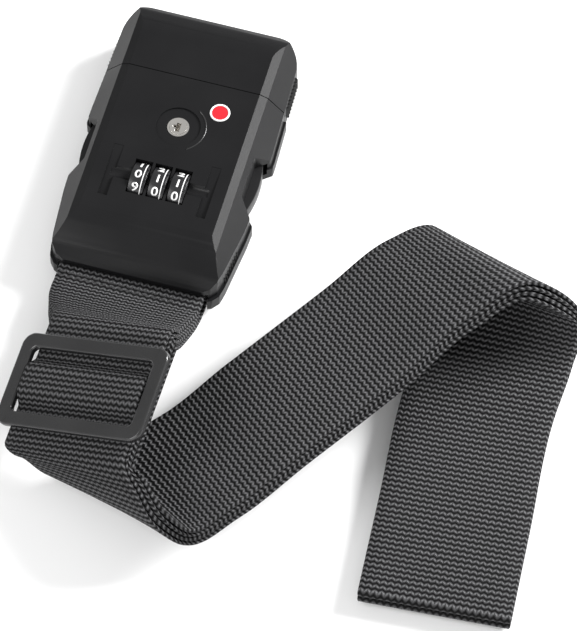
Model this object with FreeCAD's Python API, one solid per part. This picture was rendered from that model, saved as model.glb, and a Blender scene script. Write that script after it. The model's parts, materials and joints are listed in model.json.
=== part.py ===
import FreeCAD, Part
import math
import os

# Luggage strap with a three-dial combination buckle, in millimetres.
# X runs across the buckle, +Y along it towards the tongue, +Z up from the table.
# The origin lies on the table under the middle of the buckle.

os.makedirs("parts", exist_ok=True)
V = FreeCAD.Vector

# ---------------------------------------------------------------- driving sizes
WEB_WIDTH = 50.0          # strap webbing, across
WEB_THICK = 1.3           # strap webbing, through
LAYER_PITCH = 1.9         # one pass of the folded strap to the next
LOCK_LENGTH = 100.5       # buckle and tongue together, along Y
SIDE_MARGIN = 7.0         # case side beyond the webbing's edge
LOCK_HEIGHT = 18.0        # back plate to crown
CAP_LENGTH = 25.8         # tongue cap, along Y
WALL = 1.8                # moulded case wall
LIP = 0.8                 # how far the back case stands out past the top case
BACK_CASE_HEIGHT = 5.0    # height of the back case's rim
SIDE_SLOPE = 7.5          # run of the slanting side, from the case side in to the crown
RUN_CLEAR = 0.3           # air between pieces that move past each other
SHAFT_CLEAR = 0.05        # radial clearance of a turning fit

DIAL_RADIUS = 7.6
DIAL_WIDTH = 5.4
DIAL_PITCH = 6.9
DIAL_COUNT = 3
DIAL_TEETH = 10
DIAL_PROUD = 1.7          # how far the dials stand out of the crown
DIAL_FROM_SEAM = 42.0     # cap seam to the dial spindle
SPINDLE_RADIUS = 1.5
SLEEVE_RADIUS = 3.6

KEY_FROM_SEAM = 19.5      # cap seam to the key plug
KEY_RADIUS = 2.9
KEY_BUSH_WALL = 0.8
KEY_DEPTH = 6.0
CAM_OFFSET = 1.6          # cam pin from the key plug's axis; also the bolt's travel
CAM_RADIUS = 0.7
BOLT_THICK = 1.5

NOTCH_START = 19.0        # cap seam to the upper end of the side notch
NOTCH_LENGTH = 24.0
NOTCH_DEPTH = 4.6
LATCH_ARM_THICK = 2.6
LATCH_HEIGHT = 5.0

TONGUE_THICK = 2.0
TONGUE_LEAD = 27.0        # tongue blade inside the case, from the seam
BLADE_HALF = 16.0
TONGUE_LEG = 42.0         # webbing leg of the tongue, back under the case from its pin

PIN_RADIUS = 1.8          # steel cross pins that the webbing turns round
SCREW_RADIUS = 1.2
SCREW_HEAD = 2.2
SCREW_LENGTH = 9.0
SCREW_SINK = 1.2          # depth of the counterbore that holds a screw's head
RESET_RADIUS = 1.5

GLIDE_OUTER_Y = 33.0      # tri-glide slider, along the strap
GLIDE_BAR = 5.0
GLIDE_THICK = 2.6
GLIDE_TRAVEL = 2.0        # each way, before the webbing has to be fed through
GLIDE_HUMP = 3.4          # rise of the webbing over the centre bar
GLIDE_CENTRE_BAR = 3.0

SLOT_X = 17.0             # finger slots each side of the dials
SLOT_WIDTH = 3.4
SLOT_HALF = 10.5
INLAY_X = 12.0            # round coloured inlay on the crown
INLAY_FROM_SEAM = 10.5
INLAY_RADIUS = 3.0
RESET_X = -19.0
CRADLE_WALL = 2.0
LEAF_THICK = 0.4
PLUG_FLANGE = 0.6         # how far the key plug's flange stands out below its bush

# ---------------------------------------------------------------- derived levels
LOCK_HALF_WIDTH = WEB_WIDTH / 2 + SIDE_MARGIN
TOP_HALF_WIDTH = LOCK_HALF_WIDTH - SIDE_SLOPE
HALF_LENGTH = LOCK_LENGTH / 2
SEAM_Y = HALF_LENGTH - CAP_LENGTH
RUN_Z = WEB_THICK / 2                                 # strap pass that lies on the table
LEG_Z = WEB_THICK * 1.5 + RUN_CLEAR                   # tongue's web leg, on top of it
BACK_Z = WEB_THICK * 2 + RUN_CLEAR * 2                # back face of the case
CROWN_Z = BACK_Z + LOCK_HEIGHT
SPLIT_Z = BACK_Z + BACK_CASE_HEIGHT                   # where the two case halves meet
DIAL_Y = SEAM_Y - DIAL_FROM_SEAM
DIAL_Z = CROWN_Z + DIAL_PROUD - DIAL_RADIUS
KEY_Y = SEAM_Y - KEY_FROM_SEAM
NOTCH_TOP = SEAM_Y - NOTCH_START
NOTCH_END = NOTCH_TOP - NOTCH_LENGTH
BLADE_Z = SPLIT_Z + 0.6
LATCH_Z = SPLIT_Z - 2.0
INLAY_Y = SEAM_Y - INLAY_FROM_SEAM
RESET_Y = DIAL_Y - 4.0
WINDOW_HALF = math.sqrt(DIAL_RADIUS ** 2 - (CROWN_Z - WALL - DIAL_Z) ** 2) + RUN_CLEAR
PIN_HALF = WEB_WIDTH / 2 + 3.0
GLIDE_OUTER_X = WEB_WIDTH + 2 * (RUN_CLEAR + GLIDE_BAR)
WRAP_IN = PIN_RADIUS + RUN_CLEAR                      # webbing wrapped round a cross pin
WRAP_OUT = WRAP_IN + WEB_THICK
ANCHOR_Y = -HALF_LENGTH + 7.0
ANCHOR_Z = BACK_Z + WRAP_OUT + 0.2
TONGUE_PIN_Y = HALF_LENGTH - 8.0
TONGUE_PIN_Z = LEG_Z + WEB_THICK / 2 + RUN_CLEAR + PIN_RADIUS
ARM_X = LOCK_HALF_WIDTH - 8.6                         # inner side of a latch arm
PIVOT_X = ARM_X + LATCH_ARM_THICK / 2
PIVOT_Y = SEAM_Y + 5.0
MOUTH_HALF = WEB_WIDTH / 2 + 1.0
MOUTH_TOP = ANCHOR_Z + WRAP_OUT + 0.6
SCREW_PLACES = [(16.0, DIAL_Y + 12.0), (-16.0, DIAL_Y + 12.0),
                (17.5, DIAL_Y - 14.0), (-17.5, DIAL_Y - 14.0)]

nodes = {}


def keep(name, shape):
    """Store one finished piece, as a solid or a group of solids."""
    shape = shape.removeSplitter()
    nodes[name] = shape
    return shape


def box(x0, x1, y0, y1, z0, z1):
    return Part.makeBox(x1 - x0, y1 - y0, z1 - z0, V(x0, y0, z0))


def rod(base, axis, radius, length):
    return Part.makeCylinder(radius, length, V(*base), V(*axis))


def prism(points, direction):
    """Straight-sided solid on a closed outline."""
    corners = [V(*p) for p in points]
    face = Part.Face(Part.makePolygon(corners + corners[:1]))
    return face.extrude(V(*direction))


def round_edges(shape, radius, wanted):
    """Round the edges that the test picks; a wall too thin for it keeps a smaller round."""
    edges = [edge for edge in shape.Edges if wanted(edge)]
    return shape.makeFillet(radius, edges) if edges else shape


def is_upright(edge):
    ends = edge.Vertexes
    if len(ends) != 2:
        return False
    gap = ends[1].Point - ends[0].Point
    return abs(gap.z) > 0.5 and math.hypot(gap.x, gap.y) < 0.01


# ---------------------------------------------------------------- case outlines
def side_points(grow):
    """Right side of the case in plan, from the seam down to the bottom end."""
    half = LOCK_HALF_WIDTH + grow
    return [
        (half - 0.6, SEAM_Y),
        (half, NOTCH_TOP + 3.0),
        (half, NOTCH_TOP),
        (half - NOTCH_DEPTH, NOTCH_TOP - 3.5),
        (half - NOTCH_DEPTH, NOTCH_END + 5.0),
        (half - 0.3, NOTCH_END),
        (half - 0.6, NOTCH_END - 6.0),
        (half - 2.6, -HALF_LENGTH + 7.5 - grow),
        (half - 3.4, -HALF_LENGTH + 3.6 - grow),
        (half - 5.4, -HALF_LENGTH + 1.1 - grow),
        (half - 8.2, -HALF_LENGTH - grow),
    ]


def side_x(y):
    """Half width of the case in plan at one place along it."""
    points = side_points(0)
    for (xa, ya), (xb, yb) in zip(points, points[1:]):
        if yb <= y <= ya:
            return xa + (xb - xa) * (ya - y) / (ya - yb)
    return LOCK_HALF_WIDTH


def body_plan(grow, z0, z1):
    right = side_points(grow)
    left = [(-x, y) for x, y in reversed(right)]
    solid = prism([(x, y, z0) for x, y in right + left], (0, 0, z1 - z0))
    return round_edges(solid, 1.2, lambda e: is_upright(e) and e.Vertexes[0].Y < SEAM_Y - 1)


def cap_plan(grow, z0, z1):
    half = LOCK_HALF_WIDTH + grow
    top = HALF_LENGTH + grow
    seam = SEAM_Y + RUN_CLEAR
    right = [(half - 0.6, seam), (half - 1.4, top)]
    left = [(-x, y) for x, y in reversed(right)]
    solid = prism([(x, y, z0) for x, y in right + left], (0, 0, z1 - z0))
    return round_edges(solid, 9.0, lambda e: is_upright(e) and e.Vertexes[0].Y > top - 1)


def crown_section(inset):
    """The case cut across: upright rim, slanting sides, slightly rounded crown edge."""
    half = LOCK_HALF_WIDTH + 2.0 - inset
    top = CROWN_Z - inset
    slope_foot = SPLIT_Z + 2.0 - inset * 0.5
    outline = [
        (-half, -HALF_LENGTH - 5, BACK_Z - 1),
        (half, -HALF_LENGTH - 5, BACK_Z - 1),
        (half, -HALF_LENGTH - 5, slope_foot),
        (TOP_HALF_WIDTH + 1.2 - inset, -HALF_LENGTH - 5, top - 1.2),
        (TOP_HALF_WIDTH - 1.6 - inset, -HALF_LENGTH - 5, top),
        (-TOP_HALF_WIDTH + 1.6 + inset, -HALF_LENGTH - 5, top),
        (-TOP_HALF_WIDTH - 1.2 + inset, -HALF_LENGTH - 5, top - 1.2),
        (-half, -HALF_LENGTH - 5, slope_foot),
    ]
    return prism(outline, (0, LOCK_LENGTH + 10, 0))


def side_section(inset):
    """The case cut lengthwise: flat crown that rolls down over both ends."""
    wide = LOCK_HALF_WIDTH + 3
    low = BACK_Z - 1
    top = CROWN_Z - inset
    bottom_end = -HALF_LENGTH - 1 + inset
    top_end = HALF_LENGTH + 1 - inset
    roll = 26.0
    drop = 9.5
    nose = 13.0
    nose_drop = 3.5
    a = V(-wide, bottom_end, low)
    b = V(-wide, bottom_end, top - drop)
    mid = V(-wide, bottom_end + roll * 0.30, top - drop * 0.36)
    c = V(-wide, bottom_end + roll, top)
    d = V(-wide, top_end - nose, top)
    nose_mid = V(-wide, top_end - nose * 0.45, top - nose_drop * 0.26)
    e = V(-wide, top_end, top - nose_drop)
    f = V(-wide, top_end, low)
    edges = [
        Part.makeLine(a, b),
        Part.Arc(b, mid, c).toShape(),
        Part.makeLine(c, d),
        Part.Arc(d, nose_mid, e).toShape(),
        Part.makeLine(e, f),
        Part.makeLine(f, a),
    ]
    return Part.Face(Part.Wire(edges)).extrude(V(2 * wide, 0, 0))


def serrations(side, y0, y1, reach):
    """Row of small upright ridges on the rim, for the fingers."""
    pitch = 1.5
    count = int(abs(y1 - y0) / pitch)
    ridges = []
    for i in range(count):
        y = y0 + i * pitch
        x = side * reach(y)
        out = side * 0.9
        ridges.append(prism([(x, y, SPLIT_Z - 3.2), (x + out, y + 0.45, SPLIT_Z - 3.2),
                             (x, y + 0.9, SPLIT_Z - 3.2)], (0, 0, 6.0)))
    return ridges


def anchor_rod():
    """Steel cross pin at the bottom end, that the strap is sewn round."""
    return rod((-PIN_HALF, ANCHOR_Y, ANCHOR_Z), (1, 0, 0), PIN_RADIUS, 2 * PIN_HALF)


# ---------------------------------------------------------------- case halves
def make_case():
    outer = body_plan(0, SPLIT_Z, CROWN_Z + 1).common(crown_section(0)).common(side_section(0))
    inner = box(-LOCK_HALF_WIDTH + NOTCH_DEPTH + WALL, LOCK_HALF_WIDTH - NOTCH_DEPTH - WALL,
                -HALF_LENGTH + WALL, SEAM_Y - WALL, SPLIT_Z - 1, CROWN_Z)
    inner = inner.common(crown_section(WALL)).common(side_section(WALL))
    top = outer.cut(inner)
    # channels in the upper shoulders for the latch arms, open towards the notch
    for side in (-1, 1):
        reach = side * (LOCK_HALF_WIDTH - 0.9)
        root = side * (LOCK_HALF_WIDTH - 12)
        x0, x1 = sorted((reach, root))
        top = top.cut(box(x0, x1, NOTCH_END + 2.0, SEAM_Y + 1, SPLIT_Z - 1,
                          LATCH_Z + LATCH_HEIGHT + RUN_CLEAR))
    # mouth for the tongue blade
    top = top.cut(box(-BLADE_HALF - RUN_CLEAR, BLADE_HALF + RUN_CLEAR, SEAM_Y - WALL - 1, SEAM_Y + 1,
                      SPLIT_Z - 1, BLADE_Z + TONGUE_THICK + RUN_CLEAR))
    # mouth for the webbing at the bottom end
    top = top.cut(box(-MOUTH_HALF, MOUTH_HALF, -HALF_LENGTH - 2, ANCHOR_Y + WRAP_OUT + 1,
                      SPLIT_Z - 1, MOUTH_TOP))
    # dial windows, the grooved barrel between them and the two finger slots
    for i in range(DIAL_COUNT):
        x = (i - (DIAL_COUNT - 1) / 2) * DIAL_PITCH
        half = DIAL_WIDTH / 2 + RUN_CLEAR
        top = top.cut(box(x - half, x + half, DIAL_Y - WINDOW_HALF, DIAL_Y + WINDOW_HALF,
                          CROWN_Z - WALL - 1, CROWN_Z + 1))
    groove = rod((-SLOT_X, DIAL_Y, CROWN_Z + 1.6), (1, 0, 0), 2.8, 2 * SLOT_X)
    top = top.cut(groove)
    for side in (-1, 1):
        edge_x = side * SLOT_X - SLOT_WIDTH / 2
        slot = prism([(edge_x, DIAL_Y + SLOT_HALF, CROWN_Z + 1),
                      (edge_x, DIAL_Y + SLOT_HALF, CROWN_Z - 0.1),
                      (edge_x, DIAL_Y - SLOT_HALF + 1.5, CROWN_Z - 1.3),
                      (edge_x, DIAL_Y - SLOT_HALF, CROWN_Z + 1)], (SLOT_WIDTH, 0, 0))
        top = top.cut(slot)
    # dish round the key plug and the bore of its bush
    top = top.cut(rod((0, KEY_Y, CROWN_Z - 0.45), (0, 0, 1), 7.6, 3))
    top = top.cut(rod((0, KEY_Y, CROWN_Z - 5), (0, 0, 1), KEY_RADIUS + KEY_BUSH_WALL, 8))
    # seat of the round inlay
    top = top.cut(rod((INLAY_X, INLAY_Y, CROWN_Z - 0.6), (0, 0, 1), INLAY_RADIUS, 3))
    ridges = []
    for side in (-1, 1):
        ridges += serrations(side, -HALF_LENGTH + 8.0, -HALF_LENGTH + 21.0, lambda y: side_x(y) - 0.3)
    below = box(-60, 60, -80, 80, SPLIT_Z, CROWN_Z)
    top = top.multiFuse([ridge.common(below) for ridge in ridges])
    # bosses that the case screws bite into
    for x, y in SCREW_PLACES:
        post = rod((x, y, SPLIT_Z), (0, 0, 1), SCREW_RADIUS + 1.4, CROWN_Z - SPLIT_Z)
        top = top.fuse(post.common(side_section(WALL * 0.5)).common(crown_section(WALL * 0.5)))
        top = top.cut(rod((x, y, SPLIT_Z - 1), (0, 0, 1), SCREW_RADIUS, SCREW_LENGTH - SCREW_SINK))
    top = top.cut(anchor_rod())
    keep("case_top", top)

    floor = body_plan(LIP, BACK_Z, SPLIT_Z)
    hollow = body_plan(-NOTCH_DEPTH * 0.25 - WALL, BACK_Z + WALL, SPLIT_Z + 1)
    hollow = hollow.cut(box(-60, 60, SEAM_Y - WALL, SEAM_Y + 1, BACK_Z, SPLIT_Z + 2))
    back = floor.cut(hollow)
    back = back.cut(box(-MOUTH_HALF, MOUTH_HALF, -HALF_LENGTH - 3, ANCHOR_Y + WRAP_OUT + 1,
                        BACK_Z - 1, SPLIT_Z + 1))
    for side in (-1, 1):
        x0, x1 = sorted((side * (LOCK_HALF_WIDTH - 12), side * (LOCK_HALF_WIDTH - 0.9)))
        back = back.cut(box(x0, x1, NOTCH_END + 2.0, SEAM_Y + 1, LATCH_Z - RUN_CLEAR, SPLIT_Z + 1))
    for x, y in SCREW_PLACES:
        back = back.fuse(rod((x, y, BACK_Z), (0, 0, 1), SCREW_HEAD + 1.2, SPLIT_Z - BACK_Z))
        back = back.cut(rod((x, y, BACK_Z - 1), (0, 0, 1), SCREW_RADIUS, 20))
        back = back.cut(rod((x, y, BACK_Z - 1), (0, 0, 1), SCREW_HEAD, 1 + SCREW_SINK))
    back = back.cut(rod((RESET_X, RESET_Y, BACK_Z - 1), (0, 0, 1), RESET_RADIUS + SHAFT_CLEAR, WALL + 3))
    back = back.cut(anchor_rod())
    keep("case_back", back)


# ---------------------------------------------------------------- fastenings and trim
def make_case_fittings():
    keep("anchor_pin", anchor_rod())
    screws = []
    for x, y in SCREW_PLACES:
        head = rod((x, y, BACK_Z), (0, 0, 1), SCREW_HEAD, SCREW_SINK)
        shank = rod((x, y, BACK_Z + SCREW_SINK), (0, 0, 1), SCREW_RADIUS, SCREW_LENGTH - SCREW_SINK)
        slot = box(x - SCREW_HEAD, x + SCREW_HEAD, y - 0.3, y + 0.3, BACK_Z - 1, BACK_Z + 0.5)
        cross = box(x - 0.3, x + 0.3, y - SCREW_HEAD, y + SCREW_HEAD, BACK_Z - 1, BACK_Z + 0.5)
        screws.append(head.fuse(shank).cut(slot).cut(cross))
    keep("case_screws", Part.makeCompound(screws))
    keep("crown_inlay", rod((INLAY_X, INLAY_Y, CROWN_Z - 0.6), (0, 0, 1), INLAY_RADIUS, 0.7))
    # pin on the back that frees the dials for a new number; its head keeps it in
    pin = rod((RESET_X, RESET_Y, BACK_Z), (0, 0, 1), RESET_RADIUS, WALL + 1.0)
    head = rod((RESET_X, RESET_Y, BACK_Z + WALL + RUN_CLEAR), (0, 0, 1), RESET_RADIUS + 0.8, 1.0)
    keep("reset_pin", pin.fuse(head))


# ---------------------------------------------------------------- number dials
def make_dials():
    outer = DIAL_COUNT * DIAL_PITCH / 2 + 0.6
    wall_top = DIAL_Z + SPINDLE_RADIUS + 2.0
    floor_z = BACK_Z + WALL
    cradle = box(-outer - CRADLE_WALL, outer + CRADLE_WALL, DIAL_Y - 3, DIAL_Y + 3,
                 floor_z, DIAL_Z - DIAL_RADIUS - RUN_CLEAR)
    for side in (-1, 1):
        x0, x1 = sorted((side * outer, side * (outer + CRADLE_WALL)))
        cradle = cradle.fuse(box(x0, x1, DIAL_Y - 3, DIAL_Y + 3, floor_z, wall_top))
    spindle = rod((-outer - CRADLE_WALL, DIAL_Y, DIAL_Z), (1, 0, 0), SPINDLE_RADIUS,
                  2 * (outer + CRADLE_WALL))
    keep("dial_cradle", cradle.cut(spindle))
    keep("dial_spindle", spindle)
    leaf = box(-outer, outer, DIAL_Y - DIAL_RADIUS - 1.2, DIAL_Y - DIAL_RADIUS - 1.2 + LEAF_THICK,
               floor_z, DIAL_Z - 2.5)
    for i in range(DIAL_COUNT):
        x = (i - (DIAL_COUNT - 1) / 2) * DIAL_PITCH
        leaf = leaf.fuse(box(x - 1.5, x + 1.5, DIAL_Y - DIAL_RADIUS - 1.2,
                             DIAL_Y - DIAL_RADIUS - 1.2 + LEAF_THICK, floor_z, DIAL_Z + 2.0))
    keep("detent_leaf", leaf)
    for i in range(DIAL_COUNT):
        x = (i - (DIAL_COUNT - 1) / 2) * DIAL_PITCH
        left = x - DIAL_WIDTH / 2
        drum = rod((left, DIAL_Y, DIAL_Z), (1, 0, 0), DIAL_RADIUS, DIAL_WIDTH)
        drum = drum.cut(rod((left - 1, DIAL_Y, DIAL_Z), (1, 0, 0), SLEEVE_RADIUS + SHAFT_CLEAR,
                            DIAL_WIDTH + 2))
        for k in range(DIAL_TEETH):
            turn = 360.0 / DIAL_TEETH * (k + 0.5)
            groove = box(x + DIAL_WIDTH / 2 - 0.9, x + DIAL_WIDTH / 2 + 1, DIAL_Y - 0.45, DIAL_Y + 0.45,
                         DIAL_Z + DIAL_RADIUS - 0.45, DIAL_Z + DIAL_RADIUS + 1)
            groove.rotate(V(0, DIAL_Y, DIAL_Z), V(1, 0, 0), turn)
            drum = drum.cut(groove)
        keep("dial_%d" % (i + 1), drum)
        sleeve = rod((left - 0.4, DIAL_Y, DIAL_Z), (1, 0, 0), SLEEVE_RADIUS, DIAL_WIDTH + 0.8)
        bore = rod((left - 1, DIAL_Y, DIAL_Z), (1, 0, 0), SPINDLE_RADIUS + SHAFT_CLEAR, DIAL_WIDTH + 2)
        keep("dial_sleeve_%d" % (i + 1), sleeve.cut(bore))


# ---------------------------------------------------------------- key lock
def make_key_lock():
    top_z = CROWN_Z - 0.3
    bush_foot = top_z - KEY_DEPTH
    bush = rod((0, KEY_Y, bush_foot), (0, 0, 1), KEY_RADIUS + KEY_BUSH_WALL, KEY_DEPTH)
    bush = bush.cut(rod((0, KEY_Y, bush_foot - 1), (0, 0, 1), KEY_RADIUS + SHAFT_CLEAR, KEY_DEPTH + 2))
    keep("key_bush", bush)
    flange_top = bush_foot - RUN_CLEAR
    flange_foot = flange_top - 0.8
    plug = rod((0, KEY_Y, flange_foot), (0, 0, 1), KEY_RADIUS, top_z + 0.15 - flange_foot)
    plug = plug.fuse(rod((0, KEY_Y, flange_foot), (0, 0, 1), KEY_RADIUS + PLUG_FLANGE, 0.8))
    plug = plug.cut(box(-0.75, 0.75, KEY_Y - 1.9, KEY_Y + 1.5, top_z - 3.5, top_z + 1))
    plug = plug.cut(box(-1.7, 0.75, KEY_Y - 0.5, KEY_Y + 0.5, top_z - 3.5, top_z + 1))
    bolt_top = flange_foot - 0.5
    bolt_foot = bolt_top - BOLT_THICK
    cam = rod((CAM_OFFSET, KEY_Y, bolt_foot - RUN_CLEAR), (0, 0, 1), CAM_RADIUS,
              flange_foot - bolt_foot + RUN_CLEAR)
    keep("key_plug", plug.fuse(cam))
    bolt = box(-9, 9, KEY_Y - 4, KEY_Y + 4, bolt_foot, bolt_top)
    bolt = bolt.fuse(box(-4, 4, KEY_Y + 4, KEY_Y + 6, bolt_foot, bolt_top))
    slack = CAM_RADIUS + CAM_OFFSET * 0.21 + 0.15
    bolt = bolt.cut(box(-slack, CAM_OFFSET + slack, KEY_Y - slack, KEY_Y + slack,
                        bolt_foot - 1, bolt_top + 1))
    keep("lock_bolt", bolt)
    frame = box(-11, 11, KEY_Y - 6, KEY_Y + 10.5, bolt_foot - 0.9, flange_foot - 0.2)
    frame = frame.cut(box(-9 - RUN_CLEAR, 9 + RUN_CLEAR, KEY_Y - 4 - RUN_CLEAR,
                          KEY_Y + 6 + CAM_OFFSET + RUN_CLEAR, bolt_foot - RUN_CLEAR, flange_foot))
    frame = frame.cut(rod((0, KEY_Y, bolt_foot - 2), (0, 0, 1), CAM_OFFSET + CAM_RADIUS + 0.4, 3))
    keep("bolt_frame", frame)


# ---------------------------------------------------------------- tongue
def make_tongue():
    cap = cap_plan(0, BACK_Z, CROWN_Z + 1).common(crown_section(0)).common(side_section(0))
    hollow_top = TONGUE_PIN_Z + WRAP_OUT + RUN_CLEAR
    hollow_end = TONGUE_PIN_Y + WRAP_OUT + 0.6
    web = WEB_WIDTH / 2 + 0.8
    cap = cap.cut(box(-web, web, SEAM_Y - 1, hollow_end, BACK_Z - 1, hollow_top))
    pin = rod((-PIN_HALF, TONGUE_PIN_Y, TONGUE_PIN_Z), (1, 0, 0), PIN_RADIUS, 2 * PIN_HALF)
    cap = cap.cut(pin)
    blade = box(-BLADE_HALF, BLADE_HALF, SEAM_Y - TONGUE_LEAD, SEAM_Y + 12.0, BLADE_Z, BLADE_Z + TONGUE_THICK)
    blade = blade.cut(box(-5, 5, SEAM_Y - TONGUE_LEAD - 1, SEAM_Y - TONGUE_LEAD + 5,
                          BLADE_Z - 1, BLADE_Z + 4))
    cap = cap.cut(box(-BLADE_HALF, BLADE_HALF, SEAM_Y, SEAM_Y + 12.0, BLADE_Z, BLADE_Z + TONGUE_THICK))
    for side in (-1, 1):
        x0, x1 = sorted((side * (ARM_X - 4.5), side * (ARM_X + LATCH_ARM_THICK + 1.2)))
        cap = cap.cut(box(x0, x1, SEAM_Y - 1, PIVOT_Y + 4.0, LATCH_Z - RUN_CLEAR,
                          LATCH_Z + LATCH_HEIGHT + RUN_CLEAR))
        cap = cap.fuse(rod((side * PIVOT_X, PIVOT_Y, LATCH_Z - 0.5), (0, 0, 1), 1.2, LATCH_HEIGHT + 1.0))
    ridges = []
    for side in (-1, 1):
        ridges += serrations(side, SEAM_Y + 3.5, SEAM_Y + 17.5,
                             lambda y: LOCK_HALF_WIDTH - 0.65 - 0.8 * (y - SEAM_Y) / CAP_LENGTH)
    cap = cap.multiFuse(ridges)
    keep("tongue_cap", cap)
    keep("tongue_blade", blade)
    keep("tongue_pin", pin)
    # webbing loop sewn round the tongue's pin, with a leg under the case
    leg_z = TONGUE_PIN_Z - WRAP_OUT
    half = WEB_WIDTH / 2
    loop = rod((-half, TONGUE_PIN_Y, TONGUE_PIN_Z), (1, 0, 0), WRAP_OUT, WEB_WIDTH)
    loop = loop.cut(rod((-half, TONGUE_PIN_Y, TONGUE_PIN_Z), (1, 0, 0), WRAP_IN, WEB_WIDTH))
    loop = loop.cut(box(-half - 1, half + 1, TONGUE_PIN_Y - 9, TONGUE_PIN_Y, 0, 20))
    loop = loop.fuse(box(-half, half, TONGUE_PIN_Y - TONGUE_LEG, TONGUE_PIN_Y, leg_z, leg_z + WEB_THICK))
    loop = loop.fuse(box(-half, half, PIVOT_Y + 4.0, TONGUE_PIN_Y,
                         TONGUE_PIN_Z + WRAP_IN, TONGUE_PIN_Z + WRAP_OUT))
    keep("tongue_web_loop", loop)
    for side, name in ((-1, "latch_left"), (1, "latch_right")):
        keep(name, make_latch(side))


def make_latch(side):
    """Springy side arm of the tongue, with the button that shows in the notch."""
    z0, z1 = LATCH_Z, LATCH_Z + LATCH_HEIGHT
    inner = ARM_X
    outer = ARM_X + LATCH_ARM_THICK
    tip = NOTCH_END + 3.4
    top = NOTCH_TOP - 0.8
    face = LOCK_HALF_WIDTH - 1.2
    arm = prism([(side * inner, PIVOT_Y + 2.0, z0), (side * outer, PIVOT_Y + 2.0, z0),
                 (side * outer, tip + 2, z0), (side * inner, tip + 2, z0)], (0, 0, z1 - z0))
    points = [V(side * inner, top - 1.0, z0), V(side * (face - 1.2), top, z0),
              V(side * face, (top + tip) / 2, z0), V(side * (face - 1.6), tip, z0), V(side * inner, tip, z0)]
    bow = Part.Arc(points[1], points[2], points[3]).toShape()
    edges = [Part.makeLine(points[0], points[1]), bow,
             Part.makeLine(points[3], points[4]), Part.makeLine(points[4], points[0])]
    button = Part.Face(Part.Wire(edges)).extrude(V(0, 0, z1 - z0))
    arm = arm.fuse(button)
    return arm.cut(rod((side * PIVOT_X, PIVOT_Y, z0 - 1), (0, 0, 1), 1.2 + SHAFT_CLEAR, z1 - z0 + 2))


# ---------------------------------------------------------------- strap and slider
# Left edge height and middle line of the folded strap, from the buckle's lower end to the far
# end: x, y from that end, height, then heading and tilt in degrees of its right edge, then the
# spacing of the sections up to the next station
GLIDE_ALONG = V(-0.06, -1.0, -0.2).normalize()
GLIDE_HEADING = -9.55     # square to the way along
GLIDE_TILT = 28.0


def edge_drop(tilt):
    """How far the left edge lies below the middle line."""
    return WEB_WIDTH / 2 * math.sin(math.radians(tilt))


GLIDE_CENTRE = V(1.8, -HALF_LENGTH - 50.7, 9.2 + edge_drop(GLIDE_TILT))


def on_glide(s, step):
    """Station on the straight stretch that carries the slider."""
    p = GLIDE_CENTRE + GLIDE_ALONG * s
    return (p.x, p.y + HALF_LENGTH, p.z - edge_drop(GLIDE_TILT), GLIDE_HEADING, GLIDE_TILT, step)


FLAT = GLIDE_OUTER_Y / 2 + GLIDE_TRAVEL + 1.0
ROUTE = [
    (0.0, -7.8, 7.5, 0.0, 0.0, 3.5),
    (0.0, -14.8, 8.0, -3.0, 8.0, 3.5),
    (0.9, -22.8, 9.9, -8.0, 18.0, 3.0),
    on_glide(-FLAT - 2.0, 2.0), on_glide(-FLAT, 5.0), on_glide(-9.0, 1.2), on_glide(9.0, 5.0),
    on_glide(FLAT, 2.0), on_glide(FLAT + 2.0, 2.5),
    (7.2, -76.6, 6.6, -17.0, 26.0, 2.0),
    (16.0, -80.8, 4.8, -25.0, 24.0, 2.0),
    (24.8, -78.0, 4.6, -34.0, 16.0, 3.0),
    (41.5, -62.8, 5.2, -43.0, 17.0, 9.0),
    (57.5, -40.8, 9.2, -43.0, 17.0, 11.0),
    (82.0, -5.8, 13.2, -43.0, 17.0, 7.0),
    (97.7, 17.2, 15.9, -40.0, 20.0, 4.0),
    (112.0, 28.8, 15.7, -30.0, 23.0, 3.0),
    (123.5, 24.8, 11.5, -14.0, 14.0, 3.5),
    (123.5, 8.2, 6.5, 0.0, 4.0, 5.0),
    (122.3, -11.2, 5.2, 4.0, 0.0, 11.0),
    (125.0, -53.8, 4.4, 4.0, 0.0, 11.0),
    (127.3, -87.2, 4.4, 4.0, 0.0, 1.0),
]


def follow(stations):
    """Smooth path through the stations, as rows of x, y, z, heading and tilt."""
    spans = [math.dist(a[:3], b[:3]) for a, b in zip(stations, stations[1:])]
    rates = [[(q - p) / span for p, q in zip(a[:5], b[:5])]
             for a, b, span in zip(stations, stations[1:], spans)]
    slopes = [rates[0]]
    for i in range(1, len(rates)):
        before, after = spans[i - 1], spans[i]
        slopes.append([(p * after + q * before) / (before + after) for p, q in zip(rates[i - 1], rates[i])])
    slopes.append(rates[-1])
    rows = []
    for i, span in enumerate(spans):
        count = max(1, round(span / stations[i][5]))
        for k in range(count):
            u = k / count
            weights = (1 + u * u * (2 * u - 3), u * u * (3 - 2 * u),
                       u * (1 - u) * (1 - u) * span, u * u * (u - 1) * span)
            rows.append([weights[0] * p + weights[1] * q + weights[2] * m + weights[3] * n
                         for p, q, m, n in zip(stations[i], stations[i + 1], slopes[i], slopes[i + 1])])
    rows.append(list(stations[-1][:5]))
    return rows


def width_way(heading, tilt):
    h, t = math.radians(heading), math.radians(tilt)
    return V(math.cos(h) * math.cos(t), math.sin(h) * math.cos(t), math.sin(t))


def stack_frames():
    """Centre, width direction and upper-face direction of the folded stack, section by section."""
    rows = follow(ROUTE)
    centres = [V(row[0], row[1] - HALF_LENGTH, row[2] + edge_drop(row[4])) for row in rows]
    frames = []
    for i, row in enumerate(rows):
        along = (centres[min(i + 1, len(rows) - 1)] - centres[max(i - 1, 0)]).normalize()
        across = width_way(row[3], row[4])
        face = along.cross(across).normalize()
        frames.append((centres[i], across, face, along))
    return frames


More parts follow.
